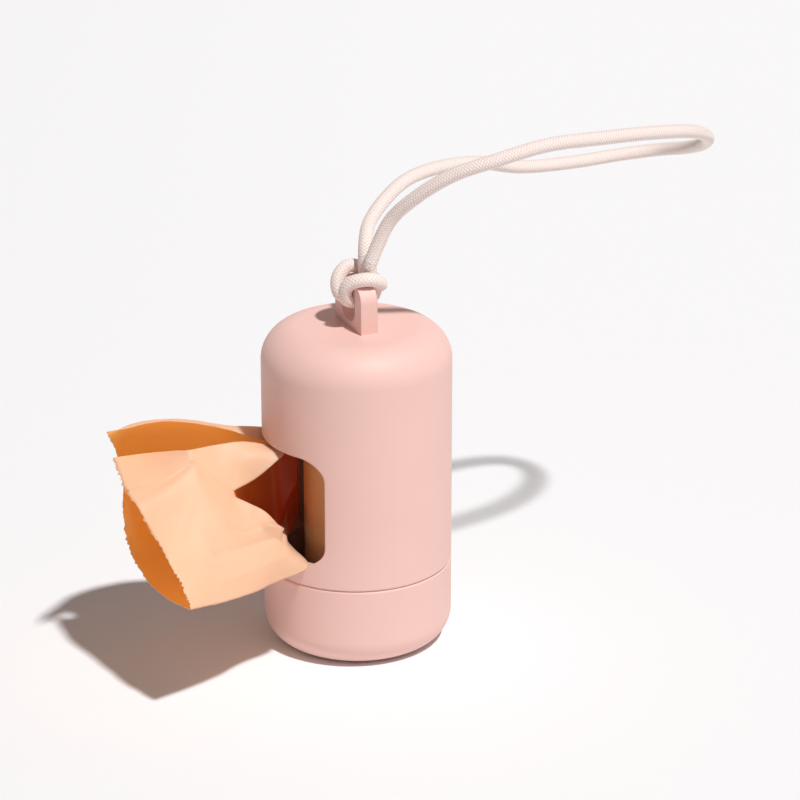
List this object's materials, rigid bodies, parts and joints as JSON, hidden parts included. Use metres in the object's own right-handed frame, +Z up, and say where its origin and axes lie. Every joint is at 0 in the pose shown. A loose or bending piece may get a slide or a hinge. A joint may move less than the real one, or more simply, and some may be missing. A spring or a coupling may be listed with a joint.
{
  "type": "pet waste bag dispenser",
  "caption": "Domed cylindrical dispenser for pet waste bags, with a side window, a screw-off base cap, a roll turning on a post and a carrying cord.",
  "frame": {"origin": "centre of the flat base, on the surface the dispenser stands on", "axes": "+Z up along the case's axis; the window faces -Y; the cord lug is long along X"},
  "size_m": [0.0619, 0.1543, 0.1221],
  "materials": {
    "soft_pink_plastic": "matte soft-touch moulded plastic in dusty pink",
    "white_plastic": "plain moulded plastic in off-white",
    "core_card": "wound grey-brown card",
    "peach_film": "thin peach compostable film",
    "braided_cord": "round braided elastic cord in pale pink"
  },
  "bodies": {
    "case": {"housing": "soft_pink_plastic", "cord_hitch": "braided_cord", "cord_loop": "braided_cord"},
    "spindle": {"spindle": "white_plastic"},
    "cap": {"base_cap": "soft_pink_plastic"},
    "roll": {"roll_core": "core_card", "bag_roll": "peach_film"},
    "pulled_bag": {"bag_tail": "peach_film"}
  },
  "joints": [
    {"name": "cap_drop", "type": "slide", "parent": "case", "child": "spindle", "axis": [0, 0, -1], "range_m": [0, 0.0081]},
    {"name": "cap_turn", "type": "hinge", "parent": "spindle", "child": "cap", "pos_m": [0, 0, 0], "axis": [0, 0, -1], "range_deg": [0, 720]},
    {"name": "roll_spin", "type": "hinge", "parent": "spindle", "child": "roll", "pos_m": [0, 0, 0.034], "axis": [0, 0, 1], "range_deg": [0, 180]},
    {"name": "bag_pull", "type": "slide", "parent": "case", "child": "pulled_bag", "axis": [0, -1, 0], "range_m": [0, 0.04]}
  ],
  "couplings": [
    {"joint": "cap_drop", "follows": "cap_turn", "m_per_rad": 0.00063662},
    {"joint": "roll_spin", "follows": "bag_pull", "rad_per_m": 76.923}
  ]
}
